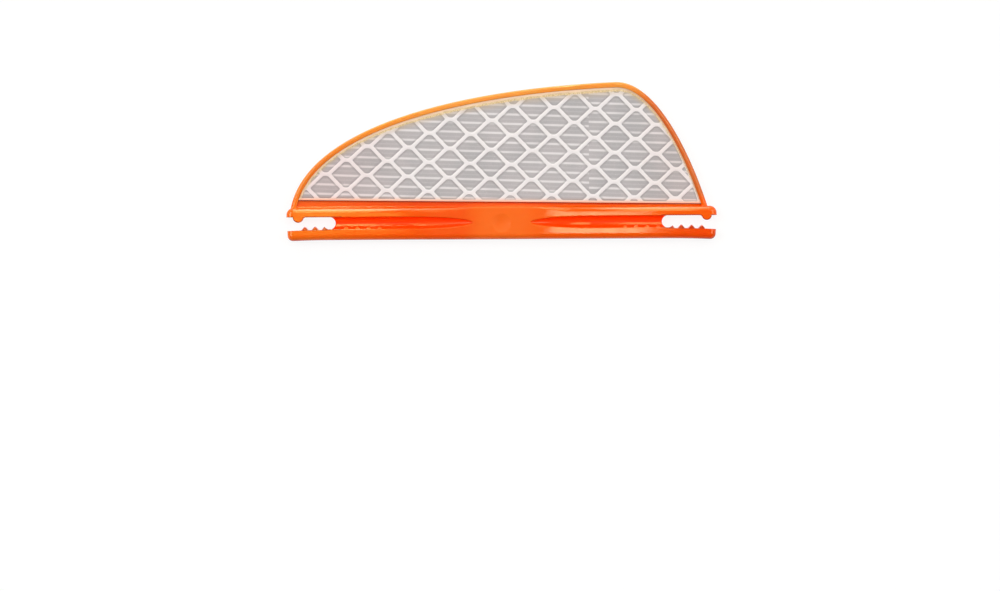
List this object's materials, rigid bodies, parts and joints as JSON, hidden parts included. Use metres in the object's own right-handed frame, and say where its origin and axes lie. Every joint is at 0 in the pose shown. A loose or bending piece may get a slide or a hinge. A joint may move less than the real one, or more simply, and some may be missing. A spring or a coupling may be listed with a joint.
{
  "type": "bicycle spoke reflector",
  "caption": "Clip-on bicycle spoke reflector: an orange moulded fin with a raised rim on a toothed clip bar, faced on both sides with white prismatic reflective film.",
  "frame": {"origin": "middle of the outline seen from the front, on the surface that the reflector lies on", "axes": "+X along the clip bar towards the steep side of the fin, +Y from the clip bar to the crown of the fin, +Z out of the front face"},
  "size_m": [0.08, 0.0292, 0.0036],
  "materials": {
    "orange_plastic": "semi-gloss injection-moulded safety orange, slightly translucent",
    "reflective_film": "silver-white micro-prismatic sheet with a white honeycomb seal lattice"
  },
  "bodies": {
    "root": {"fin_frame": "orange_plastic", "front_film": "reflective_film", "back_film": "reflective_film"}
  },
  "joints": []
}
